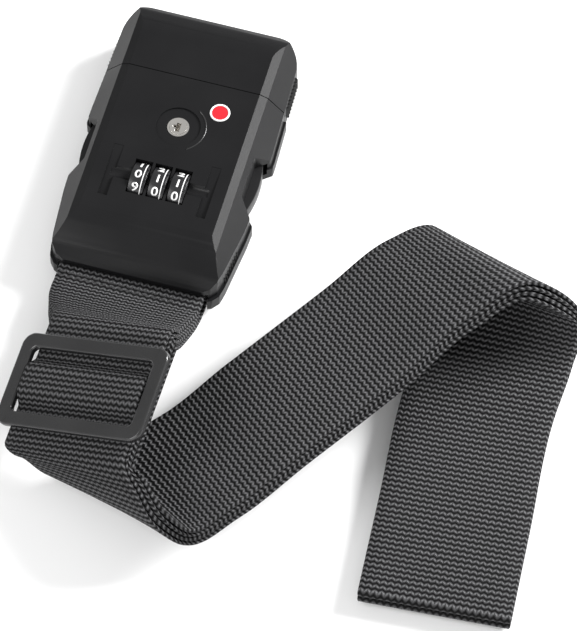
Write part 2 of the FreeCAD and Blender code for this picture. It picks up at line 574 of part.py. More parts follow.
def hump(centre):
    """Rise of the outer pass where it crosses the slider's centre bar."""
    if (centre - GLIDE_CENTRE).Length > 9.0:
        return 0.0
    away = abs((centre - GLIDE_CENTRE).dot(GLIDE_ALONG))
    u = min(1.0, max(0.0, (8.8 - away) / 4.8))
    return GLIDE_HUMP * u * u * (3 - 2 * u)


def layer(frames, offset):
    rows = []
    for centre, across, face, along in frames:
        rise = hump(centre) if offset > LAYER_PITCH else 0.0
        rows.append((centre + face * (offset + rise), across))
    return rows


def fold(frame, middle, way):
    """Half turn from one pass of the stack to the next, beyond an end of it."""
    centre, across, face, along = frame
    rows = []
    for k in range(1, 6):
        turn = math.pi * k / 6
        rows.append((centre + face * (middle + LAYER_PITCH / 2 * math.cos(turn))
                     + along * (way * LAYER_PITCH / 2 * math.sin(turn)), across))
    return rows


def ribbon(name, rows, first, last):
    """Webbing strip through rows of centre point and width direction, from one row to another."""
    wires = []
    for i, (centre, across) in list(enumerate(rows))[first:last]:
        along = rows[min(i + 1, len(rows) - 1)][0] - rows[max(i - 1, 0)][0]
        face = along.cross(across).normalize() * (WEB_THICK / 2)
        side = across * (WEB_WIDTH / 2)
        corners = [centre - side - face, centre + side - face, centre + side + face, centre - side + face]
        wires.append(Part.makePolygon(corners + corners[:1]))
    nodes[name] = Part.makeLoft(wires, True, True)


def arc_rows(y, z, radius, start, end, count):
    """Webbing round a cross pin, turning in the plane across it."""
    rows = []
    for k in range(count + 1):
        turn = math.radians(start + (end - start) * k / count)
        rows.append((V(0, y + radius * math.cos(turn), z + radius * math.sin(turn)), V(1, 0, 0)))
    return rows


def make_strap():
    frames = stack_frames()
    outer, inner = LAYER_PITCH * 1.5, LAYER_PITCH / 2
    wrap = (WRAP_IN + WRAP_OUT) / 2
    across = V(1, 0, 0)
    tail_top = ANCHOR_Z + wrap + 0.1
    sewn = tail_top - WEB_THICK - 0.05
    tail = [(V(0, ANCHOR_Y - 12.8, sewn + 0.3), across), (V(0, ANCHOR_Y - 10.5, sewn), across),
            (V(0, ANCHOR_Y - 7.5, sewn - 0.15), across),
            (V(0, ANCHOR_Y - 4.0, ANCHOR_Z - wrap + 2.0), across)]
    first = tail + arc_rows(ANCHOR_Y, ANCHOR_Z, wrap, -100, 90, 12)
    first += [(V(0, ANCHOR_Y - 5.0, tail_top), across), (V(0, ANCHOR_Y - 11.0, tail_top + 0.1), across)]
    near = fold(frames[0], 0, -1)
    far_top = fold(frames[-1], LAYER_PITCH, 1)
    far_low = fold(frames[-1], -LAYER_PITCH, 1)
    ribbon("strap_run_1", first + layer(frames, outer) + far_top[:4], 0, -1)
    ribbon("strap_run_2", far_top[1:] + layer(frames, inner)[::-1] + near[:4], 1, -1)
    ribbon("strap_run_3", near[1:] + layer(frames, -inner) + far_low[:4], 1, -1)
    lead = [(V(0, -HALF_LENGTH - 4.7, RUN_Z + 1.6), across), (V(0, -HALF_LENGTH - 0.7, RUN_Z + 0.4), across),
            (V(0, -HALF_LENGTH + 3.2, RUN_Z), across), (V(0, HALF_LENGTH - 3.0, RUN_Z), across)]
    ribbon("strap_run_4", far_low[1:] + layer(frames, -outer)[::-1] + lead, 1, None)


def make_slider():
    """Tri-glide: frame on top of the outer pass, centre bar under it."""
    foot = LAYER_PITCH * 1.5 + WEB_THICK / 2 + RUN_CLEAR
    half_x, half_y = GLIDE_OUTER_X / 2, GLIDE_OUTER_Y / 2
    plate = box(-half_x, half_x, -half_y, half_y, foot, foot + GLIDE_THICK)
    plate = round_edges(plate, 4.6, is_upright)
    window = box(-half_x + GLIDE_BAR, half_x - GLIDE_BAR, -half_y + GLIDE_BAR,
                 half_y - GLIDE_BAR, foot - 1, foot + GLIDE_THICK + 1)
    plate = plate.cut(round_edges(window, 2.0, is_upright))
    bar_top = LAYER_PITCH * 1.5 + GLIDE_HUMP - WEB_THICK / 2 - RUN_CLEAR
    bar = box(-half_x + 2.0, half_x - 2.0, -GLIDE_CENTRE_BAR / 2, GLIDE_CENTRE_BAR / 2,
              bar_top - 2.4, bar_top)
    plate = plate.fuse(bar).removeSplitter()
    across = width_way(GLIDE_HEADING, GLIDE_TILT)
    face = GLIDE_ALONG.cross(across).normalize()
    across = face.cross(GLIDE_ALONG)
    back = GLIDE_ALONG * -1
    c = GLIDE_CENTRE
    plate = plate.transformGeometry(FreeCAD.Matrix(across.x, back.x, face.x, c.x,
                                                   across.y, back.y, face.y, c.y,
                                                   across.z, back.z, face.z, c.z, 0, 0, 0, 1))
    nodes["glide_frame"] = plate


make_case()
make_case_fittings()
make_dials()
make_key_lock()
make_tongue()
make_strap()
make_slider()
for piece_name, piece in nodes.items():
    print(piece_name, piece.isValid(), len(piece.Solids), round(piece.Volume))
    piece.exportStep("parts/" + piece_name + ".step")
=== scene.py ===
import bpy, bmesh, json, math
from mathutils import Vector, Matrix


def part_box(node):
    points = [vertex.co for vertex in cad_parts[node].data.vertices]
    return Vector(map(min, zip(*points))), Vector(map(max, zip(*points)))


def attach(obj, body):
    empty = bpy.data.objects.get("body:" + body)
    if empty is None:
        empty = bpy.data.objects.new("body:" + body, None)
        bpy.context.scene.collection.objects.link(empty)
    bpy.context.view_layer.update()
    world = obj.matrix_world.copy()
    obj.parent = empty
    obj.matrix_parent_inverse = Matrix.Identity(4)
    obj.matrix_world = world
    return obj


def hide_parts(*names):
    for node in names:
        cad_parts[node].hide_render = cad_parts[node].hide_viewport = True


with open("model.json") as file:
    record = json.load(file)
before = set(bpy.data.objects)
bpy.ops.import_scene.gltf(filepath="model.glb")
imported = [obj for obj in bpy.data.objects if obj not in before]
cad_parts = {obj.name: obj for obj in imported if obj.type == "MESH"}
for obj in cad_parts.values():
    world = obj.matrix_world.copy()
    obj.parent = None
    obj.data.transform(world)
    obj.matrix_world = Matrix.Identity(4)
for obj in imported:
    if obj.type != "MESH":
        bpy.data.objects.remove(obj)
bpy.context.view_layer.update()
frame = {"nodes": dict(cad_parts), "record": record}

# %% [markdown]
# ## A folded luggage strap
# A luggage strap is one long strip of ribbed webbing with a moulded buckle on its end.
# The hard pieces come from the CAD frame, and they keep their shape here. The webbing, the
# stitches, the numbers on the dials and the printed marks are made in this lesson.

# %% Small helpers for sizes and selection
MM = 0.001


def middle(node):
    low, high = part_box(node)
    return (low + high) / 2


def start_clean():
    if bpy.context.object and bpy.context.object.mode != "OBJECT":
        bpy.ops.object.mode_set(mode="OBJECT")
    bpy.ops.object.select_all(action="DESELECT")


def name_it(name):
    piece = bpy.context.object
    piece.name = name
    piece.data.name = name
    return piece


def settle(piece):
    """Put the piece's place, turn and scale into its mesh."""
    start_clean()
    piece.select_set(True)
    bpy.context.view_layer.objects.active = piece
    bpy.ops.object.transform_apply(location=True, rotation=True, scale=True)
    return piece


# %% [markdown]
# ## Camera
# The strap is seen from high up and a little to one side, through a long lens, so that its
# sides stay almost parallel. The camera is placed by the direction it looks from.

# %% Camera
away = Vector((0.1360, -0.4808, 0.866)).normalized()
right = Vector((0.9623, 0.272, 0.0)).normalized()
up = away.cross(right).normalized()
look_at = Vector((51.2, -41.5, 0.0)) * MM - up * 2.0 * MM + right * 0.3 * MM
reach = 1.6
cam_data = bpy.data.cameras.new("view_camera")
cam_data.sensor_fit = "HORIZONTAL"
cam_data.sensor_width = 36.0
cam_data.lens = 36.0 * reach / 0.1923
camera = bpy.data.objects.new("view_camera", cam_data)
bpy.context.scene.collection.objects.link(camera)
place = look_at + away * reach
turn = Matrix((right, up, away)).transposed().to_4x4()
camera.matrix_world = Matrix.Translation(place) @ turn
bpy.context.scene.camera = camera
print("camera lens", round(cam_data.lens, 1), "mm at", round(reach, 2), "m")

# %% [markdown]
# ## Shared surface effects
# Moulded plastic is never quite smooth: the mould leaves a fine grain, and handling polishes
# it unevenly. One group gives both, and every plastic here uses it with its own amounts.
# Webbing has a second group of its own. It reads a map laid along the strip, so the ribs and
# the warp yarns follow the strip round its folds.

# %% Group: moulded grain and handling
def new_group(name, inputs, outputs):
    group = bpy.data.node_groups.new(name, "ShaderNodeTree")
    for label, kind, value in inputs:
        socket = group.interface.new_socket(label, in_out="INPUT", socket_type=kind)
        if value is not None:
            socket.default_value = value
    for label, kind in outputs:
        group.interface.new_socket(label, in_out="OUTPUT", socket_type=kind)
    return group, group.nodes.new("NodeGroupInput"), group.nodes.new("NodeGroupOutput")


def math_node(tree, kind, a, b=None, c=None, clamp=False):
    node = tree.nodes.new("ShaderNodeMath")
    node.operation = kind
    node.use_clamp = clamp
    for socket, value in zip(node.inputs, (a, b, c)):
        if value is None:
            continue
        if isinstance(value, (int, float)):
            socket.default_value = value
        else:
            tree.links.new(value, socket)
    return node.outputs[0]


def mix_colour(tree, factor, first, second):
    node = tree.nodes.new("ShaderNodeMix")
    node.data_type = "RGBA"
    wanted = ((node.inputs[0], factor), (node.inputs[6], first), (node.inputs[7], second))
    for socket, value in wanted:
        if isinstance(value, (int, float, tuple)):
            socket.default_value = value
        else:
            tree.links.new(value, socket)
    return node.outputs[2]


moulded, m_in, m_out = new_group(
    "moulded_surface",
    [("Colour", "NodeSocketColor", (0.03, 0.03, 0.03, 1)),
     ("Light colour", "NodeSocketColor", (0.05, 0.05, 0.05, 1)),
     ("Roughness", "NodeSocketFloat", 0.4),
     ("Grain", "NodeSocketFloat", 0.3),
     ("Grain scale", "NodeSocketFloat", 4000.0)],
    [("Colour", "NodeSocketColor"), ("Roughness", "NodeSocketFloat"), ("Normal", "NodeSocketVector")])
where = moulded.nodes.new("ShaderNodeTexCoord")
grain = moulded.nodes.new("ShaderNodeTexNoise")
grain.inputs["Detail"].default_value = 3.0
moulded.links.new(where.outputs["Object"], grain.inputs["Vector"])
moulded.links.new(m_in.outputs["Grain scale"], grain.inputs["Scale"])
cloud = moulded.nodes.new("ShaderNodeTexNoise")
cloud.inputs["Scale"].default_value = 60.0
cloud.inputs["Detail"].default_value = 5.0
moulded.links.new(where.outputs["Object"], cloud.inputs["Vector"])
tint = math_node(moulded, "MULTIPLY", cloud.outputs["Fac"], 0.6)
toned = mix_colour(moulded, tint, m_in.outputs["Colour"], m_in.outputs["Light colour"])
moulded.links.new(toned, m_out.inputs["Colour"])
uneven = math_node(moulded, "MULTIPLY_ADD", cloud.outputs["Fac"], 0.16, -0.08)
uneven = math_node(moulded, "ADD", uneven, m_in.outputs["Roughness"], clamp=True)
moulded.links.new(uneven, m_out.inputs["Roughness"])
relief = moulded.nodes.new("ShaderNodeBump")
relief.inputs["Distance"].default_value = 0.00004
moulded.links.new(m_in.outputs["Grain"], relief.inputs["Strength"])
moulded.links.new(grain.outputs["Fac"], relief.inputs["Height"])
moulded.links.new(relief.outputs["Normal"], m_out.inputs["Normal"])
print("group", moulded.name)

# %% Group: ribbed webbing along its own map
# The map runs 0 to 1 across the 50 mm width, and by the same measure along the strip.
WIDTH = 50.0
woven, w_in, w_out = new_group(
    "ribbed_webbing",
    [("Map", "NodeSocketVector", None),
     ("Rib pitch mm", "NodeSocketFloat", 1.9),
     ("Warp pitch mm", "NodeSocketFloat", 1.15),
     ("Dark", "NodeSocketColor", (0.010, 0.010, 0.011, 1)),
     ("Light", "NodeSocketColor", (0.05, 0.05, 0.054, 1))],
    [("Colour", "NodeSocketColor"), ("Height", "NodeSocketFloat"), ("Roughness", "NodeSocketFloat")])
parts = woven.nodes.new("ShaderNodeSeparateXYZ")
wobble = woven.nodes.new("ShaderNodeTexNoise")
wobble.inputs["Scale"].default_value = 14.0
wobble.inputs["Detail"].default_value = 2.0
woven.links.new(w_in.outputs["Map"], wobble.inputs["Vector"])
woven.links.new(w_in.outputs["Map"], parts.inputs[0])
across = math_node(woven, "MULTIPLY", parts.outputs[0], WIDTH)
along = math_node(woven, "MULTIPLY", parts.outputs[1], WIDTH)
along = math_node(woven, "MULTIPLY_ADD", wobble.outputs["Fac"], 0.35, along)
column = math_node(woven, "DIVIDE", across, w_in.outputs["Warp pitch mm"])
slant = math_node(woven, "PINGPONG", column, 1.0)
rib = math_node(woven, "DIVIDE", along, w_in.outputs["Rib pitch mm"])
rib = math_node(woven, "MULTIPLY_ADD", slant, 0.34, rib)
rib_wave = math_node(woven, "SINE", math_node(woven, "MULTIPLY", rib, 2 * math.pi))
rib_height = math_node(woven, "POWER", math_node(woven, "MULTIPLY_ADD", rib_wave, 0.5, 0.5), 1.5)
inside = math_node(woven, "FRACT", column)
bow = math_node(woven, "SINE", math_node(woven, "MULTIPLY", inside, math.pi))
bow = math_node(woven, "POWER", bow, 0.6)
yarn = math_node(woven, "MULTIPLY", rib_height, math_node(woven, "MULTIPLY_ADD", bow, 0.6, 0.4))
fuzz = woven.nodes.new("ShaderNodeTexNoise")
fuzz.inputs["Scale"].default_value = 260.0
fuzz.inputs["Detail"].default_value = 2.0
woven.links.new(w_in.outputs["Map"], fuzz.inputs["Vector"])
height = math_node(woven, "MULTIPLY_ADD", fuzz.outputs["Fac"], 0.22, yarn)
woven.links.new(height, w_out.inputs["Height"])
# The colour follows the yarn height. The near black in the grooves is painted shade, and the lighter yarn
# tops are a painted highlight, varied at random by the fuzz.
worn = math_node(woven, "MULTIPLY_ADD", fuzz.outputs["Fac"], 1.1, 0.45)
painted_rib_light = math_node(woven, "MULTIPLY", yarn, worn, clamp=True)
woven.links.new(mix_colour(woven, painted_rib_light, w_in.outputs["Dark"], w_in.outputs["Light"]), w_out.inputs["Colour"])
woven.links.new(math_node(woven, "MULTIPLY_ADD", yarn, -0.18, 0.72), w_out.inputs["Roughness"])
print("group", woven.name)

# %% Plastics, metal and paint
def plastic(name, colour, light, rough, grain_amount,
            specular=0.5, grain_scale=4000.0, coat=0.0, metallic=0.0):
    material = bpy.data.materials.new(name)
    material.use_nodes = True
    tree = material.node_tree
    shader = tree.nodes["Principled BSDF"]
    node = tree.nodes.new("ShaderNodeGroup")
    node.node_tree = moulded
    node.inputs["Colour"].default_value = (*colour, 1)
    node.inputs["Light colour"].default_value = (*light, 1)
    node.inputs["Roughness"].default_value = rough
    node.inputs["Grain"].default_value = grain_amount
    node.inputs["Grain scale"].default_value = grain_scale
    tree.links.new(node.outputs["Colour"], shader.inputs["Base Color"])
    tree.links.new(node.outputs["Roughness"], shader.inputs["Roughness"])
    tree.links.new(node.outputs["Normal"], shader.inputs["Normal"])
    shader.inputs["Specular IOR Level"].default_value = specular
    shader.inputs["Coat Weight"].default_value = coat
    shader.inputs["Metallic"].default_value = metallic
    return material


finishes = {
    "case_plastic": plastic("satin_case", (0.006, 0.006, 0.0065), (0.011, 0.011, 0.0115),
        0.38, 0.35, specular=0.16),
    "latch_plastic": plastic("satin_latch", (0.010, 0.010, 0.0105), (0.016, 0.016, 0.0165),
        0.36, 0.3, specular=0.25),
    "inner_plastic": plastic("matt_inner", (0.02, 0.02, 0.021), (0.03, 0.03, 0.031), 0.55, 0.4),
    "glide_plastic": plastic("satin_glide", (0.014, 0.014, 0.0145), (0.022, 0.022, 0.0225),
        0.24, 0.3, specular=0.55),
    "dial_plastic": plastic("dial_black", (0.008, 0.008, 0.009), (0.014, 0.014, 0.015), 0.34, 0.2),
    "steel": plastic("plain_steel", (0.45, 0.45, 0.46), (0.62, 0.62, 0.62), 0.32, 0.15, metallic=1.0),
    "key_metal": plastic("plated_key", (0.62, 0.60, 0.57), (0.80, 0.78, 0.74), 0.34, 0.12, metallic=1.0),
    "inlay": plastic("red_inlay", (0.42, 0.008, 0.016), (0.55, 0.012, 0.022), 0.30, 0.1, coat=0.3),
}
print_white = plastic("printed_white", (0.78, 0.78, 0.77), (0.86, 0.86, 0.85), 0.45, 0.15)
print("finishes", len(finishes) + 1)

# %% Webbing material
def cloth(name, dark, light, relief_mm):
    material = bpy.data.materials.new(name)
    material.use_nodes = True
    tree = material.node_tree
    shader = tree.nodes["Principled BSDF"]
    laid = tree.nodes.new("ShaderNodeUVMap")
    laid.uv_map = "UVMap"
    node = tree.nodes.new("ShaderNodeGroup")
    node.node_tree = woven
    node.inputs["Dark"].default_value = (*dark, 1)
    node.inputs["Light"].default_value = (*light, 1)
    tree.links.new(laid.outputs["UV"], node.inputs["Map"])
    bump = tree.nodes.new("ShaderNodeBump")
    bump.inputs["Distance"].default_value = relief_mm * MM
    bump.inputs["Strength"].default_value = 1.0
    tree.links.new(node.outputs["Height"], bump.inputs["Height"])
    tree.links.new(node.outputs["Colour"], shader.inputs["Base Color"])
    tree.links.new(node.outputs["Roughness"], shader.inputs["Roughness"])
    tree.links.new(bump.outputs["Normal"], shader.inputs["Normal"])
    shader.inputs["Specular IOR Level"].default_value = 0.12
    return material


# The dark colour is the painted shade in the grooves, and the light colour is the painted highlight on the
# yarn tops.
webbing = cloth("charcoal_webbing", (0.0006, 0.0006, 0.0007), (0.115, 0.115, 0.119), 0.6)
print("material", webbing.name)

# %% [markdown]
# ## Finishing the hard pieces
# Each hard piece keeps its CAD shape and takes the finish that its slot names. Moulded pieces
# never have knife edges, so their corners are welded and given a small bevel, which catches
# the light along the rims.

# %% Finish each CAD piece, and soften its edges
slot_of = {row["node"]: row["material_slot"] for row in frame["record"]["subparts"]}
# bevel width in mm
soft_edge = {
    "case_top": 0.45, "case_back": 0.35, "tongue_cap": 0.45,
    "latch_left": 0.5, "latch_right": 0.5, "glide_frame": 0.75,
    "dial_1": 0.2, "dial_2": 0.2, "dial_3": 0.2, "key_plug": 0.15,
}
for node_name, piece in frame["nodes"].items():
    finish = finishes.get(slot_of[node_name], webbing)
    piece.data.materials.clear()
    piece.data.materials.append(finish)
    if node_name in soft_edge:
        weld = piece.modifiers.new("weld", "WELD")
        weld.merge_threshold = 0.00001
        bevel = piece.modifiers.new("soft_edges", "BEVEL")
        bevel.width = soft_edge[node_name] * MM
        bevel.segments = 3
        bevel.limit_method = "ANGLE"
        bevel.angle_limit = math.radians(32)
        bevel.harden_normals = True
        bevel.use_clamp_overlap = True
print("softened", len(soft_edge), "pieces")

# %% [markdown]
# ## The strap
# The strap is one strip of webbing folded back on itself three times, so four passes lie on
# each other. A strip is easiest to make as a row of thin cross-sections that follow a route.
# The route is given by the middle of the folded stack: a place, and which way its right edge
# points. Each pass keeps its own distance from that middle, and a half turn joins each pass to
# the next. A map laid along the strip at true length carries the weave.

# %% Route of the folded stack
# x, y from the buckle's lower end, height of the left edge, heading and tilt of the right
# edge in degrees, then the section spacing, in mm
half_web = WIDTH / 2
glide_along = Vector((-0.06, -1.0, -0.2)).normalized()
glide_tilt = 28.0
end_y = -50.25


def edge_drop(tilt):
    return half_web * math.sin(math.radians(tilt))


glide_centre = Vector((1.8, end_y - 50.7, 9.2 + edge_drop(glide_tilt)))


def on_glide(s, step):
    p = glide_centre + glide_along * s
    return (p.x, p.y - end_y, p.z - edge_drop(glide_tilt), -9.55, glide_tilt, step)


glide_length = 33.0       # slider frame, along the strap
glide_margin = 3.0        # flat webbing beyond each end of the frame
flat = glide_length / 2 + glide_margin
route = [
    (0.0, -7.8, 7.5, 0.0, 0.0, 1.5),
    (0.0, -14.8, 8.0, -3.0, 8.0, 1.5),
    (0.9, -22.8, 9.9, -8.0, 18.0, 1.5),
    on_glide(-flat - 2.0, 2.0), on_glide(-flat, 3.0), on_glide(-9.0, 0.8),
    on_glide(9.0, 3.0), on_glide(flat, 1.5),
    on_glide(flat + 2.0, 1.5),
    (7.2, -76.6, 6.6, -17.0, 26.0, 1.0),
    (16.0, -80.8, 4.8, -25.0, 24.0, 1.0),
    (24.8, -78.0, 4.6, -34.0, 16.0, 1.5),
    (41.5, -62.8, 5.2, -43.0, 17.0, 4.0),
    (57.5, -40.8, 9.2, -43.0, 17.0, 4.0),
    (82.0, -5.8, 13.2, -43.0, 17.0, 3.0),
    (97.7, 17.2, 15.9, -40.0, 20.0, 1.5),
    (112.0, 28.8, 15.7, -30.0, 23.0, 1.2),
    (123.5, 24.8, 11.5, -14.0, 14.0, 1.5),
    (123.5, 8.2, 6.5, 0.0, 4.0, 2.5),
    (122.3, -11.2, 5.2, 4.0, 0.0, 4.0),
    (125.0, -53.8, 4.4, 4.0, 0.0, 4.0),
    (127.3, -87.2, 4.4, 4.0, 0.0, 1.0),
]


def follow(stations):
    """Smooth rows between the stations, weighted so that short stretches stay calm."""
    spans = [(Vector(b[:3]) - Vector(a[:3])).length for a, b in zip(stations, stations[1:])]
    rates = [[(q - p) / span for p, q in zip(a[:5], b[:5])]
             for a, b, span in zip(stations, stations[1:], spans)]
    slopes = [rates[0]]
    for i in range(1, len(rates)):
        before, after = spans[i - 1], spans[i]
        slopes.append([(p * after + q * before) / (before + after) for p, q in zip(rates[i - 1], rates[i])])
    slopes.append(rates[-1])
    rows = []
    for i, span in enumerate(spans):
        count = max(1, round(span / stations[i][5]))
        for k in range(count):
            u = k / count
            w = (1 + u * u * (2 * u - 3), u * u * (3 - 2 * u),
                 u * (1 - u) * (1 - u) * span, u * u * (u - 1) * span)
            rows.append([w[0] * p + w[1] * q + w[2] * m + w[3] * n
                         for p, q, m, n in zip(stations[i], stations[i + 1], slopes[i], slopes[i + 1])])
    rows.append(list(stations[-1][:5]))
    return rows


def stack_frames():
    rows = follow(route)
    centres = [Vector((row[0], row[1] + end_y, row[2] + edge_drop(row[4]))) for row in rows]
    frames = []
    for i, row in enumerate(rows):
        ahead = (centres[min(i + 1, len(rows) - 1)] - centres[max(i - 1, 0)]).normalized()
        h, t = math.radians(row[3]), math.radians(row[4])
        side = Vector((math.cos(h) * math.cos(t), math.sin(h) * math.cos(t), math.sin(t)))
        frames.append((centres[i], side, ahead.cross(side).normalized(), ahead))
    return frames


frames = stack_frames()
print("route sections", len(frames))

# %% Passes, half turns and the sewn end
pitch = 1.9               # from one pass to the next
thick = 1.3
hump_rise = 3.4           # the outer pass climbs over the slider's centre bar
hump_half = 8.8
hump_slope = 4.8
pin_radius = 1.8
pin_gap = 0.3


def hump(centre):
    if (centre - glide_centre).length > 9.0:
        return 0.0
    u = min(1.0, max(0.0, (hump_half - abs((centre - glide_centre).dot(glide_along))) / hump_slope))
    return hump_rise * u * u * (3 - 2 * u)


def layer(offset):
    return [(c + f * (offset + (hump(c) if offset > pitch else 0.0)), s) for c, s, f, a in frames]


def half_turn(section, centre_offset, way):
    c, s, f, a = section
    rows = []
    for k in range(1, 10):
        angle = math.pi * k / 10
        rows.append((c + f * (centre_offset + pitch / 2 * math.cos(angle))
                     + a * (way * pitch / 2 * math.sin(angle)), s))
    return rows


def round_pin(pin, radius, start, end, count):
    rows = []
    for k in range(count + 1):
        angle = math.radians(start + (end - start) * k / count)
        y = pin.y / MM + radius * math.cos(angle)
        z = pin.z / MM + radius * math.sin(angle)
        rows.append((Vector((0, y, z)), Vector((1, 0, 0))))
    return rows


def flat_rows(places):
    return [(Vector((0, y, z)), Vector((1, 0, 0))) for y, z in places]


anchor = middle("anchor_pin")
wrap = pin_radius + pin_gap + thick / 2
top = anchor.z / MM + wrap + 0.1
pin = anchor.y / MM
sewn = top - thick - 0.05
sewn_end = flat_rows([(pin - 12.8, sewn + 0.3), (pin - 10.5, sewn), (pin - 7.5, sewn - 0.15),
                      (pin - 4.0, anchor.z / MM - wrap + 2.0)])
sewn_end += round_pin(anchor, wrap, -100, 90, 20)
sewn_end += flat_rows([(pin - 5.0, top), (pin - 8.0, top + 0.05), (pin - 11.0, top + 0.1)])
floor_run = flat_rows([(end_y - 4.7, 2.25), (end_y - 0.7, 1.05)]
                      + [(end_y + 3.2 + 94.0 * k / 24, 0.65) for k in range(25)])
strip_rows = (sewn_end + layer(pitch * 1.5) + half_turn(frames[-1], pitch, 1) + layer(pitch / 2)[::-1]
              + half_turn(frames[0], 0, -1) + layer(-pitch / 2) + half_turn(frames[-1], -pitch, 1)
              + layer(-pitch * 1.5)[::-1] + floor_run)
print("strip sections", len(strip_rows))

# %% Turn rows of sections into one closed strip with its map
def make_strip(name, rows, body, nodes):
    half, edge = WIDTH / 2, thick / 2
    upper = [(-half, 0.0), (-half + 0.12, edge * 0.6), (-half + 0.5, edge)]
    upper += [(-half + 0.5 + (WIDTH - 1.0) * k / 10, edge) for k in range(1, 11)]
    upper += [(half - 0.12, edge * 0.6)]
    outline = upper + [(-a, -b) for a, b in upper]
    around = [0.0]
    for (a, b), (c, d) in zip(outline, outline[1:] + outline[:1]):
        around.append(around[-1] + math.hypot(c - a, d - b) / WIDTH)
    mesh = bmesh.new()
    laid = mesh.loops.layers.uv.new("UVMap")
    rings, lengths = [], [0.0]
    for i, (centre, side) in enumerate(rows):
        ahead = (rows[min(i + 1, len(rows) - 1)][0] - rows[max(i - 1, 0)][0]).normalized()
        face = ahead.cross(side).normalized()
        rings.append([mesh.verts.new((centre + side * a + face * b) * MM) for a, b in outline])
        if i:
            lengths.append(lengths[-1] + (centre - rows[i - 1][0]).length / WIDTH)
    count = len(outline)
    for i in range(len(rings) - 1):
        for k in range(count):
            n = (k + 1) % count
            quad = mesh.faces.new((rings[i][k], rings[i][n], rings[i + 1][n], rings[i + 1][k]))
            quad.smooth = True
            corners = ((around[k], lengths[i]), (around[k + 1], lengths[i]),
                       (around[k + 1], lengths[i + 1]), (around[k], lengths[i + 1]))
            for loop, place in zip(quad.loops, corners):
                loop[laid].uv = place
    for ring, at in ((rings[0], 0.0), (rings[-1], lengths[-1])):
        end = mesh.faces.new(ring)
        for loop, place in zip(end.loops, outline):
            loop[laid].uv = (place[0] / WIDTH + 0.5, at + place[1] / WIDTH)
    bmesh.ops.recalc_face_normals(mesh, faces=mesh.faces[:])
    data = bpy.data.meshes.new(name)
    mesh.to_mesh(data)
    mesh.free()
    piece = bpy.data.objects.new(name, data)
    bpy.context.scene.collection.objects.link(piece)
    data.materials.append(webbing)
    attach(piece, body)
    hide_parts(*nodes)
    print(name, "is", round(lengths[-1] * WIDTH), "mm long")


runs = ["strap_run_1", "strap_run_2", "strap_run_3", "strap_run_4"]
make_strip("strap_webbing", strip_rows, "lock_case", runs)
tongue_pin = middle("tongue_pin")
pin_y, pin_z = tongue_pin.y / MM, tongue_pin.z / MM
loop_leg = 42.0           # the leg back under the case from the tongue's pin
loop_rows = flat_rows([(pin_y - loop_leg + loop_leg * k / 12, pin_z - wrap) for k in range(12)])
loop_rows += round_pin(tongue_pin, wrap, -90, 90, 20)
loop_rows += flat_rows([(pin_y - 3.0, pin_z + wrap), (pin_y - 7.5, pin_z + wrap)])
make_strip("tongue_loop_webbing", loop_rows, "tongue", ["tongue_web_loop"])

# %% [markdown]
# ## Sewing
# The strap's end goes round a pin in the buckle and is sewn to itself, with two rows of short
# stitches across the strip just below the buckle. One stitch is a short thread with rounded
# ends, made once and copied along the rows.

# %% Stitches below the buckle
thread = plastic("dark_thread", (0.02, 0.02, 0.021), (0.05, 0.05, 0.052), 0.6, 0.5, grain_scale=9000.0)


def stitch(at, length):
    start_clean()
    bpy.ops.mesh.primitive_cylinder_add(vertices=8, radius=0.28 * MM, depth=length * MM, location=at,
                                        rotation=(0, math.pi / 2, 0))
    bpy.ops.object.mode_set(mode="EDIT")
    bpy.ops.mesh.select_all(action="SELECT")
    bpy.ops.mesh.bevel(offset=0.14 * MM, segments=2, affect="EDGES")
    bpy.ops.object.mode_set(mode="OBJECT")
    bpy.ops.object.shade_smooth()
    return settle(bpy.context.object)


one = stitch((0, 0, 0), 2.1)
row_pieces = []
for row_y in (end_y - 3.2, end_y - 4.6):
    for k in range(14):
        copy = bpy.data.objects.new("stitch", one.data.copy())
        bpy.context.scene.collection.objects.link(copy)
        copy.location = Vector((-23.0 + k * 2.9, row_y, top + 0.1 + thick / 2 - 0.02)) * MM
        row_pieces.append(copy)
bpy.data.objects.remove(one)
start_clean()
for piece in row_pieces:
    piece.select_set(True)
bpy.context.view_layer.objects.active = row_pieces[0]
bpy.ops.object.join()
stitches = settle(name_it("sewn_stitches"))
stitches.data.materials.append(thread)
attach(stitches, "lock_case")
print("stitches", len(row_pieces))

# %% [markdown]
# ## Numbers on the dials
# Each dial carries the digits 0 to 9 round its rim, filled with white. A digit starts as flat
# text, is cut into narrow bands so that it can bend, and is then wrapped round the drum. A thin
# white line runs round the drum beside the digits.

# %% Flat digits, cut into bands
def flat_digit(number):
    start_clean()
    bpy.ops.object.text_add()
    text = bpy.context.object
    text.data.body = str(number)
    text.data.align_x = "CENTER"
    text.data.align_y = "CENTER"
    text.data.size = 4.2 * MM
    text.data.offset = 0.06 * MM
    bpy.ops.object.convert(target="MESH")
    piece = bpy.context.object
    bpy.ops.object.mode_set(mode="EDIT")
    for k in range(-4, 5):
        bpy.ops.mesh.select_all(action="SELECT")
        bpy.ops.mesh.bisect(plane_co=(0, k * 0.4 * MM, 0), plane_no=(0, 1, 0))
    bpy.ops.mesh.select_all(action="SELECT")
    bpy.ops.mesh.extrude_region_move(TRANSFORM_OT_translate={"value": (0, 0, 0.12 * MM)})
    bpy.ops.mesh.select_all(action="SELECT")
    bpy.ops.mesh.normals_make_consistent(inside=False)
    bpy.ops.object.mode_set(mode="OBJECT")
    return piece


flat_digits = [flat_digit(n) for n in range(10)]
print("flat digits", len(flat_digits))

